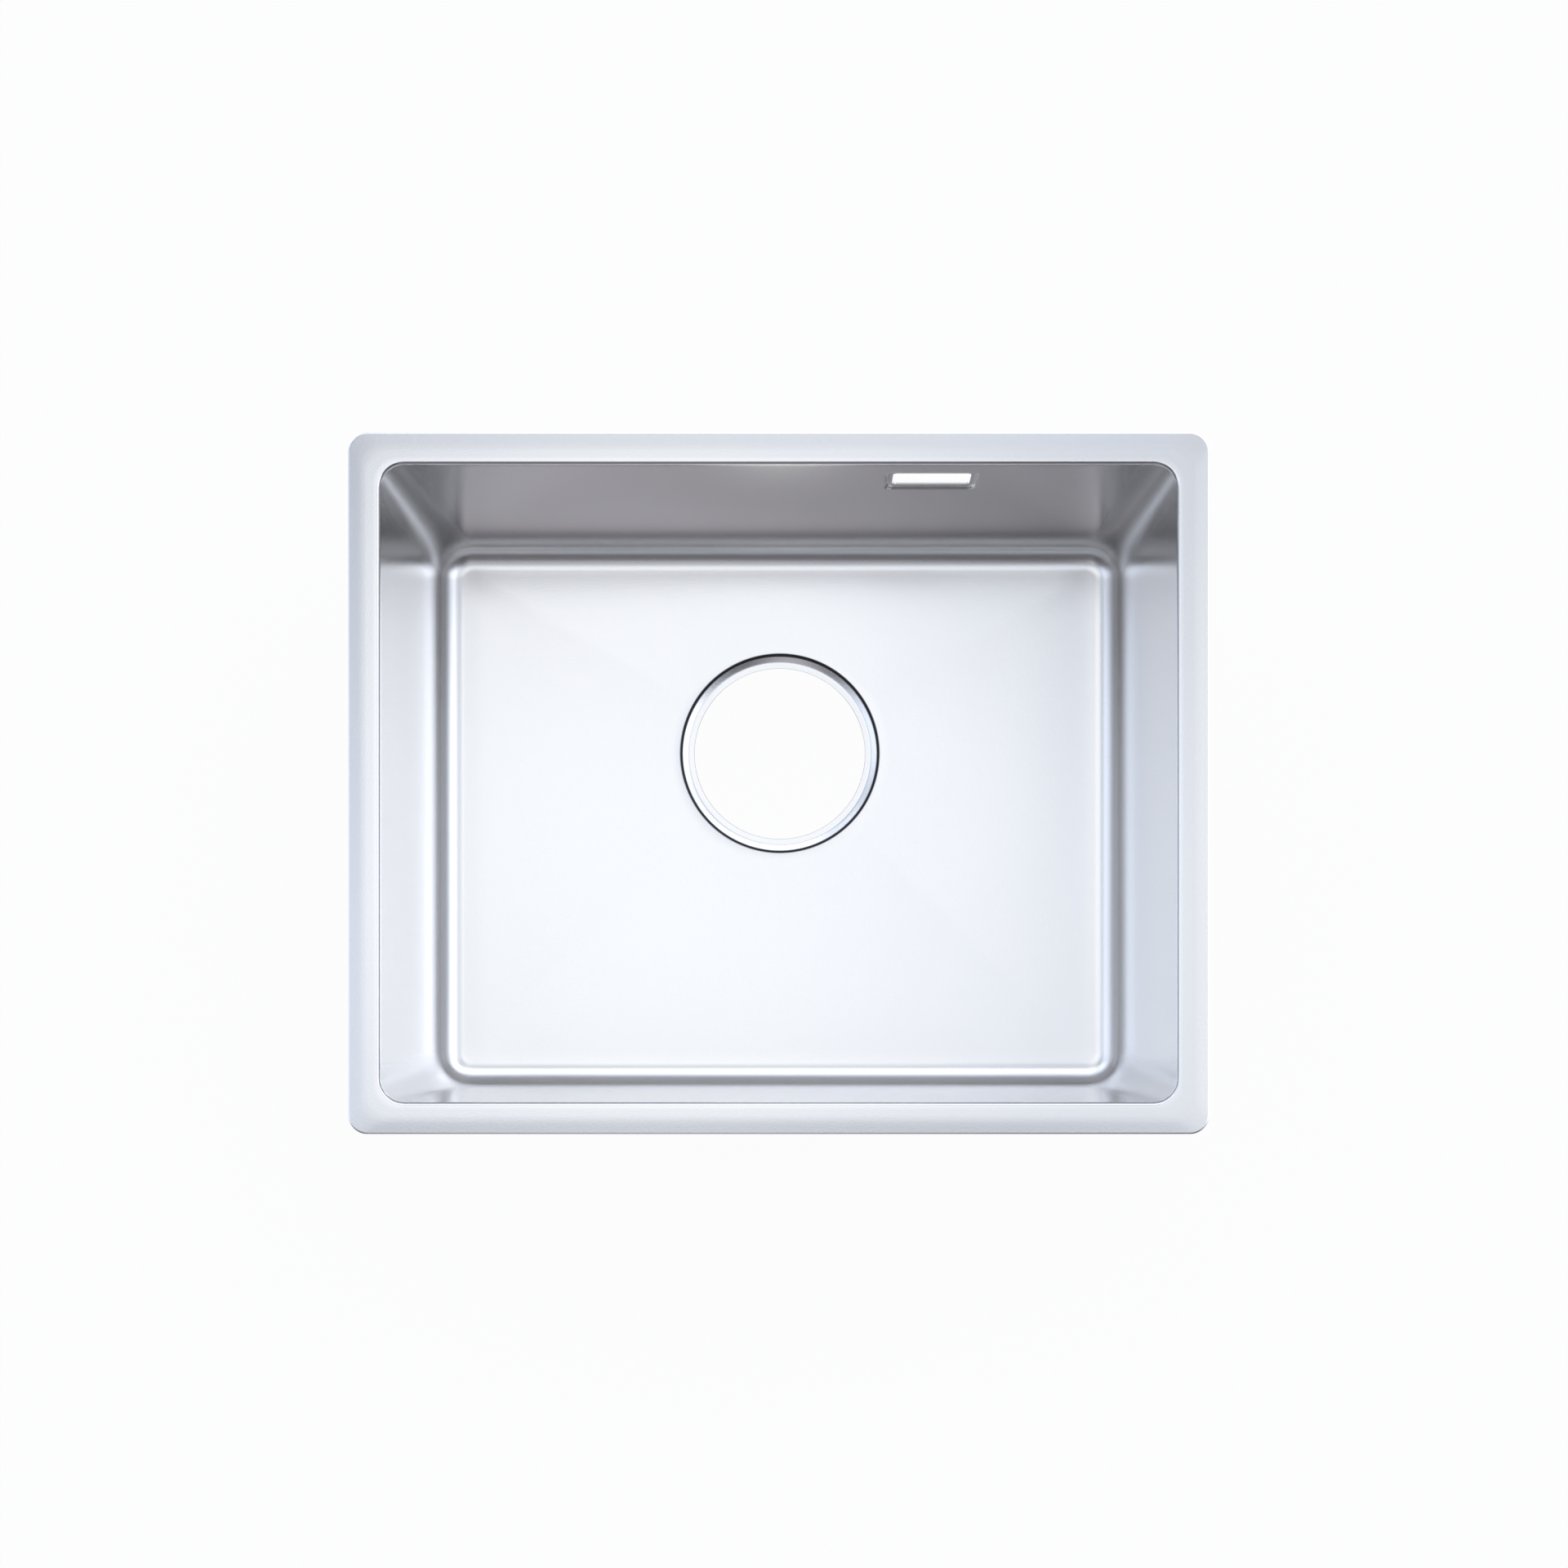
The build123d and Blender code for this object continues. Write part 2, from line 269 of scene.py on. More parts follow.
def closed_sheet(name, upper, lower):
    """A mesh of two facing grids of rings, joined along their first and last rings."""
    rows, columns = upper.shape[:2]
    index = np.arange(rows * columns).reshape(rows, columns)
    ahead = np.roll(index, -1, axis=1)
    face = np.stack([index[:-1], ahead[:-1], ahead[1:], index[1:]], -1).reshape(-1, 4)
    behind = face[:, ::-1] + rows * columns
    low = rows * columns
    rim_strip = np.stack([index[0], index[0] + low, ahead[0] + low, ahead[0]], -1)
    hole_strip = np.stack([index[-1], ahead[-1], ahead[-1] + low, index[-1] + low], -1)
    mesh = bpy.data.meshes.new(name)
    points = np.concatenate([upper.reshape(-1, 3), lower.reshape(-1, 3)]) * MM
    faces = np.concatenate([face, behind, rim_strip, hole_strip])
    mesh.from_pydata(points.tolist(), [], faces.tolist())
    mesh.validate()
    return mesh


def add_piece(name, mesh, material=None, sharp=40.0):
    """Put a mesh in the scene as a piece at the origin, smooth but for its sharp edges."""
    mesh.name = name
    mesh.polygons.foreach_set("use_smooth", [True] * len(mesh.polygons))
    mesh.set_sharp_from_angle(angle=math.radians(sharp))
    if material:
        mesh.materials.clear()
        mesh.materials.append(material)
    piece = bpy.data.objects.new(name, mesh)
    bpy.context.scene.collection.objects.link(piece)
    return piece


def baked(piece):
    """A piece's mesh with its modifiers worked in."""
    depsgraph = bpy.context.evaluated_depsgraph_get()
    return bpy.data.meshes.new_from_object(piece.evaluated_get(depsgraph))


def drop(piece):
    bpy.data.objects.remove(piece)


def prism(name, outline, low, high, place=Matrix.Identity(4)):
    """A closed block between two heights of a plan outline, in millimetres, put in place."""
    mesh = bpy.data.meshes.new(name)
    count = len(outline)
    points = [(x * MM, y * MM, z * MM) for z in (low, high) for x, y in outline]
    faces = [tuple(reversed(range(count))), tuple(range(count, 2 * count))]
    faces += [(i, (i + 1) % count, (i + 1) % count + count, i + count) for i in range(count)]
    mesh.from_pydata(points, [], faces)
    mesh.transform(place)
    return mesh


class Nodes:
    """A node tree being put together. make() adds a node, fills its inputs, named by their labels
    or as i0, i1 and so on, and returns one of its outputs."""

    def __init__(self, tree):
        self.tree = tree

    def make(self, kind, output=0, settings=None, **inputs):
        node = self.tree.nodes.new(kind)
        for key, value in (settings or {}).items():
            setattr(node, key, value)
        for key, value in inputs.items():
            numbered = key[0] == "i" and key[1:].isdigit()
            socket = node.inputs[int(key[1:]) if numbered else key.replace("_", " ")]
            if isinstance(value, bpy.types.NodeSocket):
                self.tree.links.new(value, socket)
            else:
                socket.default_value = value
        return node.outputs[output]

    def maths(self, operation, *values):
        return self.make("ShaderNodeMath", settings={"operation": operation},
                         **{f"i{i}": value for i, value in enumerate(values)})


def finish_material(name, build):
    """A material whose Principled shader is filled in by build(nodes, place, shader)."""
    material = bpy.data.materials.new(name)
    material.use_nodes = True
    tree = material.node_tree
    shader = tree.nodes["Principled BSDF"]
    nodes = Nodes(tree)
    build(nodes, nodes.make("ShaderNodeTexCoord", output="Object"), shader)
    return material


def wire(nodes, value, shader, name):
    nodes.tree.links.new(value, shader.inputs[name])


def smoothly(nodes, value, start, end, low=0.0, high=1.0):
    """A smooth change from low to high while a value goes from start to end."""
    return nodes.make("ShaderNodeMapRange", settings={"interpolation_type": "SMOOTHSTEP"}, Value=value,
                      From_Min=start, From_Max=end, To_Min=low, To_Max=high)


def shaded(nodes, colour, tone):
    """A colour made lighter and darker by a tone near 1."""
    return nodes.make("ShaderNodeMix", output=2,
                      settings={"data_type": "RGBA", "blend_type": "MULTIPLY"},
                      i0=1.0, i6=(*colour, 1), i7=tone)


DULLING = 0.13                  # roughness that the press adds where it stretches the sheet
UPRIGHT_BLEND = 8.0             # half the width over which it comes in beside an upright corner


def satin_stainless(nodes, place, shader):
    """The sheet's face: a fine satin polish with a pearly grain."""
    shader.inputs["Metallic"].default_value = 1.0
    # long shallow waves of the pressed sheet, a fine pearly grain, and the grain's finest grit
    waves = nodes.make("ShaderNodeTexNoise", Vector=place, Scale=9.0, Detail=1.0)
    pearl = nodes.make("ShaderNodeTexNoise", Vector=place, Scale=900.0, Detail=2.0, Roughness=0.6)
    grit = nodes.make("ShaderNodeTexNoise", Vector=place, Scale=3200.0, Detail=1.0)
    tone = nodes.make("ShaderNodeMapRange", Value=pearl, To_Min=0.97, To_Max=1.03)
    colour = shaded(nodes, (0.92, 0.91, 0.90), tone)
    x, y, z = nodes.make("ShaderNodeSeparateXYZ", Vector=place).node.outputs
    # painted shade: a dark line round the foot of the drain recess stands in for the shadow in its
    # crease; the metal there is also rougher, as unpolished metal
    offset = nodes.make("ShaderNodeVectorMath", settings={"operation": "SUBTRACT"},
                        i0=place, i1=(0, DRAIN_Y * MM, 0))
    offset = nodes.make("ShaderNodeVectorMath", settings={"operation": "MULTIPLY"},
                        i0=offset, i1=(1, 1, 0))
    reach = nodes.make("ShaderNodeVectorMath", output=1, settings={"operation": "LENGTH"}, i0=offset)
    from_shade_line = nodes.maths("ABSOLUTE", nodes.maths("SUBTRACT", reach, SHADE_LINE_RADIUS * MM))
    painted_shade_line = smoothly(nodes, from_shade_line, 0.3 * SHADE_LINE_WIDTH * MM, 0.8 * SHADE_LINE_WIDTH * MM, 1.0, 0.0)
    painted_shade_line = nodes.maths("MULTIPLY", painted_shade_line, nodes.maths("LESS_THAN", z, FLOOR_TOP * MM))
    # painted shade: along the line the metal's colour turns near black
    colour = nodes.make("ShaderNodeMix", output=2, settings={"data_type": "RGBA"},
                        i0=painted_shade_line, i6=colour, i7=(0.05, 0.05, 0.055, 1))
    wire(nodes, colour, shader, "Base Color")
    # the press stretches the sheet most in the bend and the upright corners, and dulls it there
    above_floor = smoothly(nodes, z, (FLOOR_TOP + 0.2) * MM, (FLOOR_TOP + 2.5) * MM)
    below_wall = smoothly(nodes, z, (FLOOR_TOP + BEND_HEIGHT) * MM, (FLOOR_TOP + 2 * BEND_HEIGHT) * MM,
                          1.0, 0.0)
    lean = nodes.maths("MULTIPLY", nodes.maths("SUBTRACT", RIM_TOP * MM, z), WALL_SLOPE)
    past = [nodes.maths("SUBTRACT", nodes.maths("ADD", nodes.maths("ABSOLUTE", axis), lean),
                        (half - FOOT_CORNER) * MM) for axis, half in zip((x, y), OPENING_HALF)]
    upright = smoothly(nodes, nodes.maths("MINIMUM", *past), -UPRIGHT_BLEND * MM, UPRIGHT_BLEND * MM)
    below_rim = nodes.maths("LESS_THAN", z, (RIM_TOP - ROLL_RADIUS) * MM)
    upright = nodes.maths("MULTIPLY", upright, below_rim)
    stretched = nodes.maths("MULTIPLY", above_floor, nodes.maths("MAXIMUM", upright, below_wall))
    rough = nodes.make("ShaderNodeMapRange", Value=grit, To_Min=0.18, To_Max=0.24)
    rough = nodes.maths("ADD", rough, nodes.maths("MULTIPLY", stretched, DULLING))
    wire(nodes, nodes.make("ShaderNodeMix", i0=painted_shade_line, i2=rough, i3=0.4), shader, "Roughness")
    height = nodes.maths("ADD", nodes.maths("MULTIPLY", pearl, 0.7), nodes.maths("MULTIPLY", grit, 0.3))
    fine = nodes.make("ShaderNodeBump", Strength=0.12, Distance=0.0003, Height=height)
    slow = nodes.make("ShaderNodeBump", Strength=0.25, Distance=0.0008, Height=waves, Normal=fine)
    wire(nodes, slow, shader, "Normal")


def mill_stainless(nodes, place, shader):
    """The sheet's outside, left as it came from the mill and the press."""
    shader.inputs["Metallic"].default_value = 1.0
    cloud = nodes.make("ShaderNodeTexNoise", Vector=place, Scale=14.0, Detail=4.0)
    grain = nodes.make("ShaderNodeTexNoise", Vector=place, Scale=1500.0, Detail=2.0)
    # faint marks of the draw, which run down the walls
    drawn = nodes.make("ShaderNodeMapping", Vector=place, Scale=(1, 1, 0.06))
    marks = nodes.make("ShaderNodeTexNoise", Vector=drawn, Scale=420.0, Detail=3.0)
    mottle = nodes.maths("MULTIPLY", nodes.maths("ADD", cloud, marks), 0.5)
    tone = nodes.make("ShaderNodeMapRange", Value=mottle, From_Min=0.35, From_Max=0.65,
                      To_Min=0.93, To_Max=1.07)
    wire(nodes, shaded(nodes, (0.56, 0.57, 0.585), tone), shader, "Base Color")
    wire(nodes, nodes.make("ShaderNodeMapRange", Value=cloud, From_Min=0.3, From_Max=0.7,
                           To_Min=0.3, To_Max=0.4), shader, "Roughness")
    wire(nodes, nodes.make("ShaderNodeBump", Strength=0.07, Distance=0.0002, Height=grain), shader,
         "Normal")


stainless = finish_material("satin_stainless", satin_stainless)
unpolished = finish_material("mill_stainless", mill_stainless)

# the overflow's slot is punched square to the leaning wall
both_ends = np.array([-1.0, 1.0])
slot_outline = rounded_loop(*SLOT_HALF, SLOT_CORNER, (both_ends,) * 4)
slot_axis = Vector((0, 1 / slant, -WALL_SLOPE / slant))
slot_across = Vector((-1, 0, 0))
slot_place = Matrix((slot_across, slot_axis.cross(slot_across), slot_axis)).transposed().to_4x4()
slot_y = OPENING_HALF[1] - WALL_SLOPE * (RIM_TOP - OVERFLOW[1])
slot_place.translation = Vector((OVERFLOW[0], slot_y, OVERFLOW[1])) * MM
punched_out = prism("slot_punch", slot_outline, *PUNCH_REACH, slot_place)
cutter = add_piece("slot_punch", punched_out, stainless)
blank_mesh = closed_sheet("bowl_blank", top, under)
blank_mesh.materials.append(stainless)
blank_mesh.materials.append(unpolished)
one_face = (top.shape[0] - 1) * top.shape[1]
finish = np.zeros(len(blank_mesh.polygons), dtype=np.int32)
finish[one_face:2 * one_face] = 1
blank_mesh.polygons.foreach_set("material_index", finish)
bowl_blank = add_piece("bowl_blank", blank_mesh)
punch = bowl_blank.modifiers.new("slot", "BOOLEAN")
punch.object = cutter
punch.operation = "DIFFERENCE"
punch.solver = "EXACT"
bowl_mesh = baked(bowl_blank)
drop(bowl_blank)
drop(cutter)

bowl = add_piece("pressed_bowl", bowl_mesh, sharp=35.0)
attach(bowl, "sink")
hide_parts("bowl_shell")

# ---------------------------------------------------------------------------------------------
# Sound pads: moulded rubber sheet, bonded under the floor and on the outside of the walls.
# Their free face is a waffle of small flat bosses. The four under the floor also carry the
# sink when it stands by itself.
PAD_CORNER = 10.0
PAD_ARRIS = 0.8
PAD_STEP = 10.0                 # along the pad's edge
PAD_RINGS = 10                  # from the middle of the bonded face to its edge
PAD_HEART = 0.5                 # half the width of the innermost ring
PAD_LEAST_CORNER = 0.4
BOSS_HEIGHT = 1.0
BOSS_PITCH = 9.0
BOSS_BASE = 6.4
BOSS_TOP = 5.2
BOSS_MARGIN = 4.0
BOSS_SUNK = 0.2                 # each boss starts this far inside the pad


def moulded_rubber(nodes, place, shader):
    mottle = nodes.make("ShaderNodeTexNoise", Vector=place, Scale=35.0, Detail=3.0)
    grain = nodes.make("ShaderNodeTexNoise", Vector=place, Scale=1400.0, Detail=2.0)
    shade = nodes.make("ShaderNodeMapRange", Value=mottle, From_Min=0.3, From_Max=0.7,
                       To_Min=0.85, To_Max=1.15)
    wire(nodes, shaded(nodes, (0.052, 0.054, 0.06), shade), shader, "Base Color")
    wire(nodes, nodes.make("ShaderNodeMapRange", Value=grain, To_Min=0.62, To_Max=0.82), shader,
         "Roughness")
    wire(nodes, nodes.make("ShaderNodeBump", Strength=0.3, Distance=0.0002, Height=grain), shader,
         "Normal")


rubber = finish_material("moulded_rubber", moulded_rubber)
TINY = 1e-9


def floor_under(x, y):
    """Height of the floor's underside at plan points."""
    bend_x, bend_y = OPENING_HALF[0] + bend_out, OPENING_HALF[1] + bend_out
    offset = np.stack([x, y - DRAIN_Y], -1)
    reach = np.linalg.norm(offset, axis=-1)
    way = offset / np.maximum(reach, TINY)[..., None]
    room_y = np.where(way[..., 1] > 0, bend_y - DRAIN_Y, bend_y + DRAIN_Y)
    edge = np.minimum(bend_x / np.maximum(np.abs(way[..., 0]), TINY),
                      room_y / np.maximum(np.abs(way[..., 1]), TINY))
    share = np.clip((edge - reach) / (edge - brink), 0, 1)
    return FLOOR_TOP - SHEET - FLOOR_FALL * floor_fall(share)


def turned_outward(mesh):
    """The same mesh with every face turned outwards."""
    work = bmesh.new()
    work.from_mesh(mesh)
    bmesh.ops.recalc_face_normals(work, faces=work.faces)
    work.to_mesh(mesh)
    work.free()
    return mesh


def pad_body(half_x, half_y, centre, bonded_z, free_z, toward):
    """A closed pad with rounded corners. Its bonded face follows bonded_z(x, y), and its free
    face looks up or down as toward is 1 or -1."""
    sides = tuple(np.linspace(-1, 1, max(3, int(2 * half / PAD_STEP)))
                  for half in (half_y, half_x) * 2)
    lift = PAD_ARRIS * 0.7
    rings = []
    for inset in np.linspace(min(half_x, half_y) - PAD_HEART, 0.0, PAD_RINGS):
        corner = max(PAD_CORNER - inset, PAD_LEAST_CORNER)
        plan = rounded_loop(half_x - inset, half_y - inset, corner, sides) + centre
        rings.append(np.column_stack([plan, bonded_z(plan[:, 0], plan[:, 1])]))
    for inset, drop_back in [(0.0, lift), (0.25 * PAD_ARRIS, 0.25 * lift), (PAD_ARRIS, 0.0)]:
        plan = rounded_loop(half_x - inset, half_y - inset, PAD_CORNER - inset, sides) + centre
        rings.append(level(plan, free_z - toward * drop_back))
    grid = np.array(rings)
    rows, columns = grid.shape[:2]
    index = np.arange(rows * columns).reshape(rows, columns)
    ahead = np.roll(index, -1, axis=1)
    faces = np.stack([index[:-1], index[1:], ahead[1:], ahead[:-1]], -1).reshape(-1, 4).tolist()
    faces += [index[0].tolist(), index[-1][::-1].tolist()]
    mesh = bpy.data.meshes.new("pad")
    mesh.from_pydata((grid.reshape(-1, 3) * MM).tolist(), [], faces)
    return turned_outward(mesh)


def new_tree(name, sockets):
    """A Geometry Nodes tree with named inputs, and its identifiers by name."""
    tree = bpy.data.node_groups.new(name, "GeometryNodeTree")
    tree.interface.new_socket("Geometry", in_out="INPUT", socket_type="NodeSocketGeometry")
    tree.interface.new_socket("Geometry", in_out="OUTPUT", socket_type="NodeSocketGeometry")
    names = {}
    for label, kind in sockets.items():
        names[label] = tree.interface.new_socket(label, in_out="INPUT", socket_type=kind).identifier
    return tree, names


def run_tree(name, seed_mesh, tree, names, values):
    """Work a tree on a seed mesh and return the plain mesh that comes out."""
    carrier = bpy.data.objects.new(name, seed_mesh)
    bpy.context.scene.collection.objects.link(carrier)
    modifier = carrier.modifiers.new(name, "NODES")
    modifier.node_group = tree
    for label, value in values.items():
        modifier[names[label]] = value
    mesh = baked(carrier)
    carrier.modifiers.remove(modifier)
    drop(carrier)
    return mesh


# waffle: a grid of flat-topped bosses, joined to the pad that comes in
waffle, waffle_names = new_tree("waffle_bosses", {
    "Length": "NodeSocketFloat", "Width": "NodeSocketFloat", "Columns": "NodeSocketInt",
    "Rows": "NodeSocketInt", "Centre": "NodeSocketVector", "Boss Base": "NodeSocketFloat",
    "Boss Top": "NodeSocketFloat", "Boss Height": "NodeSocketFloat", "Tilt": "NodeSocketVector",
    "Rubber": "NodeSocketMaterial"})
nodes = Nodes(waffle)
entry = waffle.nodes.new("NodeGroupInput").outputs
grid = nodes.make("GeometryNodeMeshGrid", Size_X=entry["Length"], Size_Y=entry["Width"],
                  Vertices_X=entry["Columns"], Vertices_Y=entry["Rows"])
grid = nodes.make("GeometryNodeTransform", Geometry=grid, Translation=entry["Centre"])
boss = nodes.make("GeometryNodeMeshCone", Vertices=4, Radius_Top=entry["Boss Top"],
                  Radius_Bottom=entry["Boss Base"], Depth=entry["Boss Height"])
boss = nodes.make("GeometryNodeTransform", Geometry=boss, Rotation=entry["Tilt"])
bosses = nodes.make("GeometryNodeInstanceOnPoints", Points=grid, Instance=boss)
bosses = nodes.make("GeometryNodeRealizeInstances", Geometry=bosses)
join = waffle.nodes.new("GeometryNodeJoinGeometry")
waffle.links.new(bosses, join.inputs[0])
waffle.links.new(entry["Geometry"], join.inputs[0])
both = nodes.make("GeometryNodeRealizeInstances", Geometry=join.outputs[0])
dressed = nodes.make("GeometryNodeSetMaterial", Geometry=both, Material=entry["Rubber"])
waffle.links.new(dressed, waffle.nodes.new("NodeGroupOutput").inputs[0])


def waffled_pad(half_x, half_y, centre, bonded_z, free_z, toward):
    """A pad with its bosses, whose free face looks up or down as toward is 1 or -1."""
    body = pad_body(half_x, half_y, centre, bonded_z, free_z, toward)
    columns, rows = (int((2 * half - 2 * BOSS_MARGIN - BOSS_BASE) // BOSS_PITCH) + 1
                     for half in (half_x, half_y))
    to_corner = math.sqrt(0.5) * MM
    return run_tree("pad", body, waffle, waffle_names, {
        "Length": (columns - 1) * BOSS_PITCH * MM, "Width": (rows - 1) * BOSS_PITCH * MM,
        "Columns": columns, "Rows": rows,
        "Centre": (centre[0] * MM, centre[1] * MM, (free_z - toward * BOSS_SUNK) * MM),
        "Boss Base": BOSS_BASE * to_corner, "Boss Top": BOSS_TOP * to_corner,
        "Boss Height": (BOSS_HEIGHT + BOSS_SUNK) * MM,
        "Tilt": (0.0 if toward > 0 else math.pi, 0.0, math.pi / 4), "Rubber": rubber})


def fit_pad(name, node, mesh):
    pad = add_piece(name, mesh, rubber, sharp=30.0)
    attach(pad, "sink")
    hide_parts(node)


for place in ("left", "right", "front", "back"):
    low, high = (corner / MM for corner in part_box(f"base_pad_{place}"))
    centre = np.array([(low.x + high.x) / 2, (low.y + high.y) / 2])
    half_x, half_y = (high.x - low.x) / 2, (high.y - low.y) / 2
    mesh = waffled_pad(half_x, half_y, centre, floor_under, BOSS_HEIGHT, -1.0)
    fit_pad(f"floor_pad_{place}", f"base_pad_{place}", mesh)

SIDE_PAD_THICKNESS = 4.0
SIDE_PAD_Z = 78.5
SIDE_PAD_HALF_HEIGHT = 50.0
wall_skin = SHEET * slant
SIDE_PADS = {                   # half its length, and the way that its wall looks
    "front": (160.0, (0, -1, 0)),
    "back": (160.0, (0, 1, 0)),
    "left": (120.0, (-1, 0, 0)),
    "right": (120.0, (1, 0, 0)),
}
for place, (half_length, way) in SIDE_PADS.items():
    way = Vector(way)
    outward = Vector((way.x, way.y, -WALL_SLOPE)).normalized()
    lengthwise = Vector((abs(way.y), abs(way.x), 0))
    upward = outward.cross(lengthwise)
    wall = OPENING_HALF[0] if way.x else OPENING_HALF[1]
    reach = wall + wall_skin - WALL_SLOPE * (RIM_TOP - SIDE_PAD_Z)
    stand = Matrix((lengthwise, upward, outward)).transposed().to_4x4()
    stand.translation = Vector((way.x * reach, way.y * reach, SIDE_PAD_Z)) * MM
    mesh = waffled_pad(half_length, SIDE_PAD_HALF_HEIGHT, np.zeros(2), lambda x, y: np.zeros(len(x)),
                       SIDE_PAD_THICKNESS - BOSS_HEIGHT, 1.0)
    mesh.transform(stand)
    fit_pad(f"wall_pad_{place}", f"side_pad_{place}", mesh)

# ---------------------------------------------------------------------------------------------
# Weld studs: six M4 stainless studs, flash-welded to the underside of the rim. Each has a
# rolled thread along all its length, and ends in a small chamfer.
STUD_RADIUS = 1.99
THREAD_ROOT = 1.62
THREAD_PITCH = 0.7
STUD_LENGTH = 16.0
STUD_CHAMFER = 0.45
STUD_SIDES = 20
STUD_RINGS = 138
STATIONS = {                    # where the six fixings hang, across and back
    "front_left": (-170.0, -212.0),
    "front_right": (170.0, -212.0),
    "back_left": (-170.0, 212.0),
    "back_right": (170.0, 212.0),
    "left": (-262.0, 0.0),
    "right": (262.0, 0.0),
}


def drawn_steel(nodes, place, shader):
    shader.inputs["Metallic"].default_value = 1.0
    bloom = nodes.make("ShaderNodeTexNoise", Vector=place, Scale=260.0, Detail=3.0)
    tone = nodes.make("ShaderNodeMapRange", Value=bloom, To_Min=0.85, To_Max=1.08)
    wire(nodes, shaded(nodes, (0.62, 0.61, 0.6), tone), shader, "Base Color")
    wire(nodes, nodes.make("ShaderNodeMapRange", Value=bloom, To_Min=0.22, To_Max=0.45), shader,
         "Roughness")


stud_steel = finish_material("drawn_stud_steel", drawn_steel)

thread, thread_names = new_tree("threaded_studs", {
    "Radius": "NodeSocketFloat", "Root": "NodeSocketFloat", "Pitch": "NodeSocketFloat",
    "Length": "NodeSocketFloat", "Chamfer": "NodeSocketFloat", "Round": "NodeSocketInt",
    "Rings": "NodeSocketInt", "Steel": "NodeSocketMaterial"})
nodes = Nodes(thread)
entry = thread.nodes.new("NodeGroupInput").outputs
rod = nodes.make("GeometryNodeMeshCylinder", Vertices=entry["Round"], Side_Segments=entry["Rings"],
                 Radius=entry["Radius"], Depth=entry["Length"])
split = thread.nodes.new("ShaderNodeSeparateXYZ")
thread.links.new(nodes.make("GeometryNodeInputPosition"), split.inputs[0])
x, y, z = split.outputs
angle = nodes.maths("DIVIDE", nodes.maths("ARCTAN2", y, x), 2 * math.pi)
phase = nodes.maths("SUBTRACT", nodes.maths("DIVIDE", z, entry["Pitch"]), angle)
ridge = nodes.maths("PINGPONG", phase, 0.5)
ridge = nodes.make("ShaderNodeMapRange", Value=ridge, From_Min=0.06, From_Max=0.44)
radius = nodes.make("ShaderNodeMapRange", Value=ridge, To_Min=entry["Root"], To_Max=entry["Radius"])
tip = nodes.maths("ADD", z, nodes.maths("MULTIPLY", entry["Length"], 0.5))
tip = nodes.maths("ADD", tip, nodes.maths("SUBTRACT", entry["Root"], entry["Chamfer"]))
radius = nodes.maths("MINIMUM", radius, tip)
scale = nodes.maths("DIVIDE", radius, entry["Radius"])
moved = nodes.make("ShaderNodeCombineXYZ", X=nodes.maths("MULTIPLY", x, scale),
                   Y=nodes.maths("MULTIPLY", y, scale), Z=z)
rod = nodes.make("GeometryNodeSetPosition", Geometry=rod, Position=moved)
studs = nodes.make("GeometryNodeInstanceOnPoints", Points=entry["Geometry"], Instance=rod)
studs = nodes.make("GeometryNodeRealizeInstances", Geometry=studs)
studs = nodes.make("GeometryNodeSetMaterial", Geometry=studs, Material=entry["Steel"])
thread.links.new(studs, thread.nodes.new("NodeGroupOutput").inputs[0])

stud_marks = bpy.data.meshes.new("stud_marks")
stud_z = RIM_TOP - SHEET - STUD_LENGTH / 2
stud_marks.from_pydata([(x * MM, y * MM, stud_z * MM) for x, y in STATIONS.values()], [], [])
stud_mesh = run_tree("studs", stud_marks, thread, thread_names, {
    "Radius": STUD_RADIUS * MM, "Root": THREAD_ROOT * MM, "Pitch": THREAD_PITCH * MM,
    "Length": STUD_LENGTH * MM, "Chamfer": STUD_CHAMFER * MM, "Round": STUD_SIDES,
    "Rings": STUD_RINGS, "Steel": stud_steel})
studs = add_piece("threaded_weld_studs", stud_mesh, stud_steel, sharp=60.0)
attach(studs, "sink")
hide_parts("weld_studs")

# ---------------------------------------------------------------------------------------------
# Fixing lugs: flat blanks of 2.5 mm zinc-plated steel, punched with two holes. Each swings on
# its stud, out from under the rim, and takes a wood screw up into the worktop.
BLANK_ARRIS = 0.25


def bright_zinc(nodes, place, shader):
    shader.inputs["Metallic"].default_value = 1.0
    cloud = nodes.make("ShaderNodeTexNoise", Vector=place, Scale=120.0, Detail=3.0)
    grain = nodes.make("ShaderNodeTexNoise", Vector=place, Scale=2400.0, Detail=1.0)
    ramp = nodes.tree.nodes.new("ShaderNodeValToRGB")
    ramp.color_ramp.elements[0].position = 0.35
    ramp.color_ramp.elements[0].color = (0.60, 0.64, 0.70, 1)
    ramp.color_ramp.elements[1].position = 0.68
    ramp.color_ramp.elements[1].color = (0.74, 0.73, 0.70, 1)
    nodes.tree.links.new(cloud, ramp.inputs["Fac"])
    wire(nodes, ramp.outputs["Color"], shader, "Base Color")
    wire(nodes, nodes.make("ShaderNodeMapRange", Value=cloud, To_Min=0.2, To_Max=0.4), shader,
         "Roughness")
    wire(nodes, nodes.make("ShaderNodeBump", Strength=0.15, Distance=0.0001, Height=grain), shader,
         "Normal")


zinc = finish_material("bright_zinc", bright_zinc)


def eased_copy(node, name, width):
    """A CAD node's own shape, merged into whole faces, with its arrises eased."""
    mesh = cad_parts[node].data.copy()
    work = bmesh.new()
    work.from_mesh(mesh)
    bmesh.ops.remove_doubles(work, verts=work.verts, dist=1e-6)
    bmesh.ops.dissolve_limit(work, angle_limit=math.radians(1), verts=work.verts, edges=work.edges)
    bmesh.ops.recalc_face_normals(work, faces=work.faces)
    work.to_mesh(mesh)
    work.free()
    blank = add_piece(name, mesh)
    ease = blank.modifiers.new("arris", "BEVEL")
    ease.width = width * MM
    ease.segments = 2
    ease.limit_method = "ANGLE"
    ease.angle_limit = math.radians(40)
    made = baked(blank)
    drop(blank)
    return made


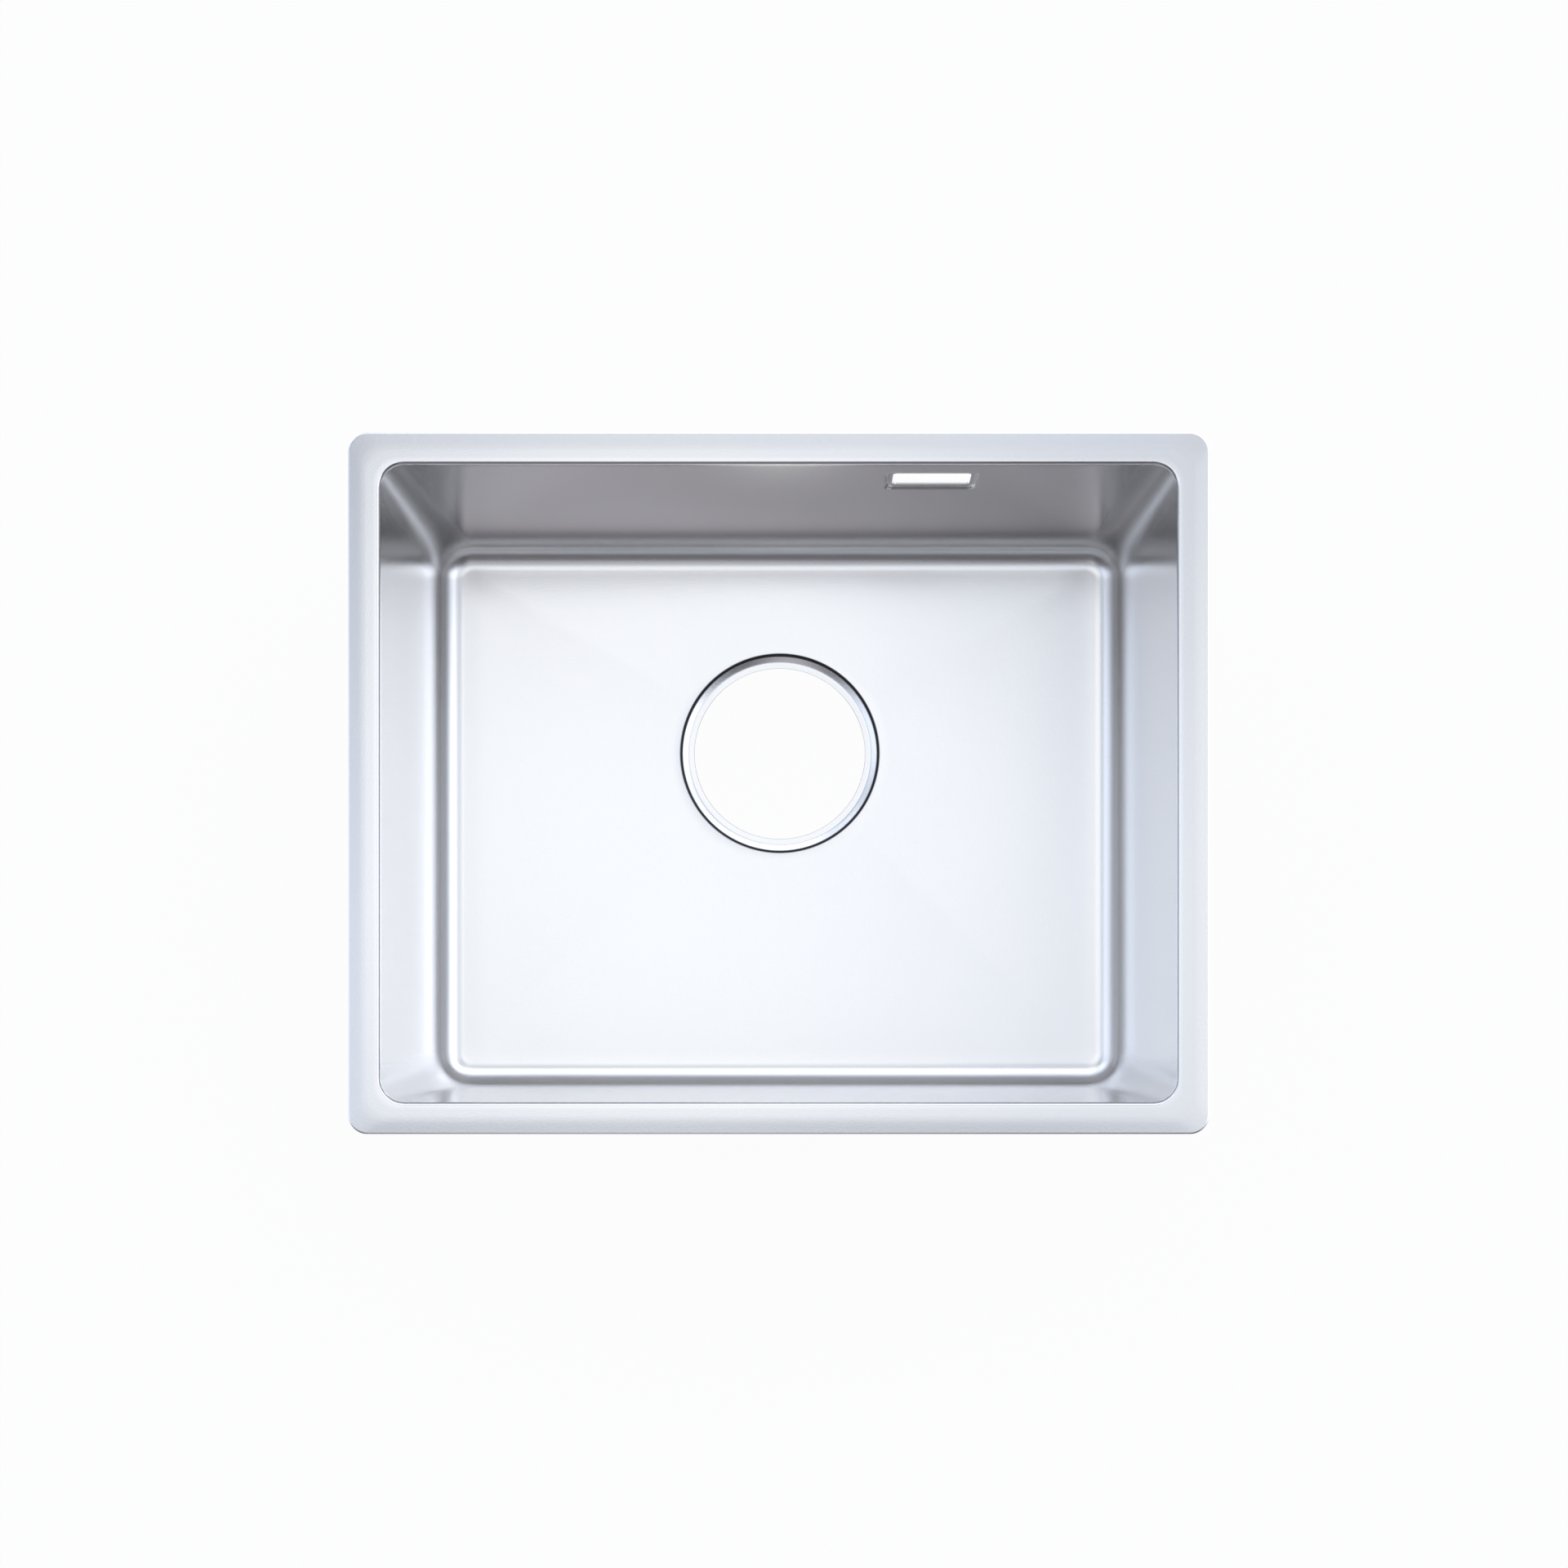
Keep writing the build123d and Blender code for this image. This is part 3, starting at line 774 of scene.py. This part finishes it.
def fit_moving(name, body, mesh):
    piece = add_piece(name, mesh, zinc)
    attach(piece, body)
    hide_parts(body)


for place in STATIONS:
    fit_moving(f"swing_lug_{place}", f"lug_{place}", eased_copy(f"lug_{place}", "lug", BLANK_ARRIS))

# ---------------------------------------------------------------------------------------------
# Square washers: 1 mm zinc-plated steel, one between each lug and its wing nut. They are punched
# from sheet, so their arrises are small, and they ride up and down the stud with the nut.
WASHER_ARRIS = 0.15
for place in STATIONS:
    mesh = eased_copy(f"washer_{place}", "washer", WASHER_ARRIS)
    fit_moving(f"square_washer_{place}", f"washer_{place}", mesh)

# ---------------------------------------------------------------------------------------------
# Wing nuts: zinc castings, each a round hub with a bore for the stud and two rounded wings that
# point down, away from the rim.
HUB_RADIUS = 3.95
HUB_HEIGHT = 5.0
HUB_BORE = 2.08
NUT_TOP = 201.4
LOBE_RADIUS = 2.9
LOBE_CENTRE = (6.95, -7.5)      # out from the stud, and down from the hub's top
WING_ROOT = ((0.5, -0.9), (3.6, -0.9), (0.5, -4.6))    # where a wing grows out of the hub
WING_THICKNESS = 1.8
CAST_ARRIS = 0.45
HUB_SIDES = 40
LOBE_SIDES = 36


def ring_of(radius, count):
    turn = np.linspace(0, 2 * math.pi, count, endpoint=False)
    return np.column_stack([radius * np.cos(turn), radius * np.sin(turn)])


def hull(points):
    """The convex outline of plan points, anticlockwise."""
    ordered = sorted(map(tuple, points))
    sides = []
    for run in (ordered, ordered[::-1]):
        side = []
        for point in run:
            while len(side) > 1 and np.cross(np.subtract(side[-1], side[-2]),
                                             np.subtract(point, side[-1])) <= 0:
                side.pop()
            side.append(point)
        sides += side[:-1]
    return sides


def joined(blank, tools, operation):
    """A piece's mesh after it is joined with or cut by other pieces, which are then dropped."""
    for tool in tools:
        change = blank.modifiers.new(tool.name, "BOOLEAN")
        change.object = tool
        change.operation = operation
        change.solver = "EXACT"
    mesh = baked(blank)
    for piece in (blank, *tools):
        drop(piece)
    return mesh


def cast_nut():
    """One nut, its hub's top face at the origin, its wings along X and pointing down."""
    hub = add_piece("hub", prism("hub", ring_of(HUB_RADIUS, HUB_SIDES), -HUB_HEIGHT, 0))
    wing_plan = hull([*(ring_of(LOBE_RADIUS, LOBE_SIDES) + LOBE_CENTRE), *WING_ROOT])
    upright = Matrix.Rotation(math.pi / 2, 4, "X")
    wings = []
    for turn in (0, math.pi):
        place = Matrix.Rotation(turn, 4, "Z") @ upright
        wings.append(add_piece("wing", prism("wing", wing_plan, -WING_THICKNESS / 2,
                                             WING_THICKNESS / 2, place)))
    body = add_piece("nut", joined(hub, wings, "UNION"))
    bore = add_piece("bore", prism("bore", ring_of(HUB_BORE, HUB_SIDES), -HUB_HEIGHT - 1, 1))
    nut = add_piece("nut", joined(body, [bore], "DIFFERENCE"))
    ease = nut.modifiers.new("arris", "BEVEL")
    ease.width = CAST_ARRIS * MM
    ease.segments = 3
    ease.limit_method = "ANGLE"
    ease.angle_limit = math.radians(50)
    mesh = baked(nut)
    drop(nut)
    return mesh


nut_pattern = cast_nut()
for place, (x, y) in STATIONS.items():
    low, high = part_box(f"wing_nut_{place}")
    quarter = 0 if high.x - low.x > high.y - low.y else math.pi / 2
    mesh = nut_pattern.copy()
    seat = Matrix.Translation((x * MM, y * MM, NUT_TOP * MM))
    mesh.transform(seat @ Matrix.Rotation(quarter, 4, "Z"))
    fit_moving(f"cast_wing_nut_{place}", f"wing_nut_{place}", mesh)

# ---------------------------------------------------------------------------------------------
# The studio: a wide pale floor, an even pale surround with a brighter ceiling, and a camera
# that looks straight down into the bowl from above its front edge.
sweep = bpy.data.meshes.new("studio_floor")
sweep.from_pydata([(-9, -9, 0), (9, -9, 0), (9, 9, 0), (-9, 9, 0)], [], [(0, 1, 2, 3)])
studio_floor = bpy.data.objects.new("studio_floor", sweep)
bpy.context.scene.collection.objects.link(studio_floor)
paper = bpy.data.materials.new("white_paper")
paper.use_nodes = True
tree = paper.node_tree
tree.nodes.clear()
nodes = Nodes(tree)
grain = nodes.make("ShaderNodeTexNoise", Scale=40.0,
                   Vector=nodes.make("ShaderNodeTexCoord", output="Object"))
tint = nodes.make("ShaderNodeMapRange", Value=grain, To_Min=0.84, To_Max=0.86)
matt = nodes.make("ShaderNodeBsdfDiffuse", Color=tint)
glow = nodes.make("ShaderNodeEmission", Color=(1, 1, 1, 1), Strength=1.0)
path = tree.nodes.new("ShaderNodeLightPath").outputs
seen = nodes.maths("MAXIMUM", path["Is Camera Ray"],
                   nodes.maths("MAXIMUM", path["Is Glossy Ray"], path["Is Transmission Ray"]))
mixed = nodes.make("ShaderNodeMixShader", i0=nodes.maths("MULTIPLY", seen, 0.96), i1=matt, i2=glow)
tree.links.new(mixed, tree.nodes.new("ShaderNodeOutputMaterial").inputs["Surface"])
sweep.materials.append(paper)

world = bpy.data.worlds.new("studio")
world.use_nodes = True
bpy.context.scene.world = world
tree = world.node_tree
tree.nodes.clear()
nodes = Nodes(tree)
way = nodes.make("ShaderNodeTexCoord", output="Generated")
split = tree.nodes.new("ShaderNodeSeparateXYZ")
tree.links.new(way, split.inputs[0])
x, y, z = split.outputs
back_tilt = nodes.maths("ARCTAN2", y, z)
side_tilt = nodes.maths("ARCTAN2", x, z)


def ease(tilt, start_degrees, end_degrees, low, high):
    """A smooth change from low to high between two tilts."""
    return smoothly(nodes, tilt, math.radians(start_degrees), math.radians(end_degrees), low, high)


def product(*values):
    total = values[0]
    for value in values[1:]:
        total = nodes.maths("MULTIPLY", total, value)
    return total


def one_less(value):
    return nodes.maths("SUBTRACT", 1.0, value)


# tilts are measured from straight up; a dark gap lies over the front, lighter in its middle,
# which is a little to the left
GAP_MIDDLE = -3.5
off_middle = nodes.maths("ABSOLUTE", nodes.maths("SUBTRACT", side_tilt, math.radians(GAP_MIDDLE)))
gap = product(ease(off_middle, 1, 15, 0.59, 0.04), ease(back_tilt, -32, -20, 0.3, 1.0))
beside = ease(off_middle, 8, 14, 0, 1)
front_edge = nodes.make("ShaderNodeMix", i0=beside, i2=ease(back_tilt, -15, 4, 0, 1),
                        i3=ease(back_tilt, -17.5, -10, 0, 1))
# a soft dark patch to the right and back, a darker corner to the left and back, a rise over
# the right's far end, and a fall and a rise on every side
depth = nodes.maths("ADD", ease(back_tilt, 3, 10, 0.15, 0.28), ease(back_tilt, 9.5, 12, 0, 0.35))
patch = product(ease(side_tilt, 3, 8, 0, 1), ease(side_tilt, 9, 13, 1, 0),
                ease(back_tilt, 12.5, 15.5, 1, 0), depth)
corner = product(ease(side_tilt, -14, -9, 1, 0), ease(side_tilt, -27, -20, 0, 1),
                 ease(back_tilt, 0, 11, 0, 0.30))
right_rise = product(ease(side_tilt, 17, 25, 0, 0.8), ease(back_tilt, -17, -9, 0, 1))
bright = product(one_less(patch), one_less(corner),
                 ease(back_tilt, 8, 23, 1.14, 0.65), ease(back_tilt, 24, 32, 1.0, 2.85),
                 ease(side_tilt, 8, 14, 1.03, 0.73), nodes.maths("ADD", 1.0, right_rise),
                 ease(side_tilt, -19, -12, 0.66, 1.0), ease(side_tilt, -27, -19, 1.75, 1.0),
                 ease(side_tilt, 25, 30, 1.0, 1.3))
overhead = nodes.make("ShaderNodeMix", i0=front_edge, i2=gap, i3=bright)
height = smoothly(nodes, z, 0.45, 0.72)
low_down = nodes.make("ShaderNodeMix", i0=front_edge, i2=0.23, i3=0.48)
lit = nodes.make("ShaderNodeMix", i0=height, i2=low_down, i3=overhead)
# cooler away from overhead, to the left, over the front and by the dark patch, and a little warm
# in the gap
CLEAR_LIGHT = (0.973, 1.0, 1.044, 1)
COOL_LIGHT = (0.778, 0.86, 1.013, 1)
WARM_LIGHT = (0.955, 0.93, 1.015, 1)
outward = nodes.maths("SQRT", nodes.maths("ADD", nodes.maths("POWER", side_tilt, 2),
                                          nodes.maths("POWER", back_tilt, 2)))
cool = nodes.maths("MAXIMUM", ease(outward, 15, 28, 0, 0.6), ease(side_tilt, -18, -8, 1, 0))
cool = nodes.maths("MAXIMUM", cool, ease(back_tilt, -12, -3, 1, 0))
by_patch = product(ease(side_tilt, 1, 8, 0, 1), ease(side_tilt, 9, 12, 1, 0),
                   ease(back_tilt, 2, 10, 0.6, 1))
cool = nodes.maths("MAXIMUM", cool, by_patch)
tint = nodes.make("ShaderNodeMix", output=2, settings={"data_type": "RGBA"}, i0=cool,
                  i6=CLEAR_LIGHT, i7=COOL_LIGHT)
warm = nodes.maths("MULTIPLY", nodes.maths("MAXIMUM", height, 0.7), ease(back_tilt, -17, -11, 1, 0))
tint = nodes.make("ShaderNodeMix", output=2, settings={"data_type": "RGBA"}, i0=warm,
                  i6=tint, i7=WARM_LIGHT)
surround = nodes.make("ShaderNodeBackground", Color=tint, Strength=lit)
backdrop = nodes.make("ShaderNodeBackground", Color=(1, 1, 1, 1), Strength=1.0)
seen = tree.nodes.new("ShaderNodeLightPath").outputs["Is Camera Ray"]
mixed = nodes.make("ShaderNodeMixShader", i0=seen, i1=surround, i2=backdrop)
tree.links.new(mixed, tree.nodes.new("ShaderNodeOutputWorld").inputs["Surface"])

# the camera, in metres but for its sensor
CAMERA_HEIGHT = 1.44            # above the rim
CAMERA_X, CAMERA_Y = 0.0056, -0.169
CAMERA_SHIFT = (-0.0023, 0.1714)
SENSOR_WIDTH = 36.0
SHOT_WIDTH = 0.9827             # across the picture, at the rim's height
camera_data = bpy.data.cameras.new("overhead")
camera_data.sensor_width = SENSOR_WIDTH
camera_data.lens = SENSOR_WIDTH * CAMERA_HEIGHT / SHOT_WIDTH
camera_data.shift_x, camera_data.shift_y = CAMERA_SHIFT
camera_data.clip_start = 0.05
camera_data.clip_end = 50.0
camera = bpy.data.objects.new("overhead", camera_data)
camera.location = (CAMERA_X, CAMERA_Y, RIM_TOP * MM + CAMERA_HEIGHT)
bpy.context.scene.collection.objects.link(camera)
bpy.context.scene.camera = camera
bpy.context.scene.view_settings.view_transform = "Standard"
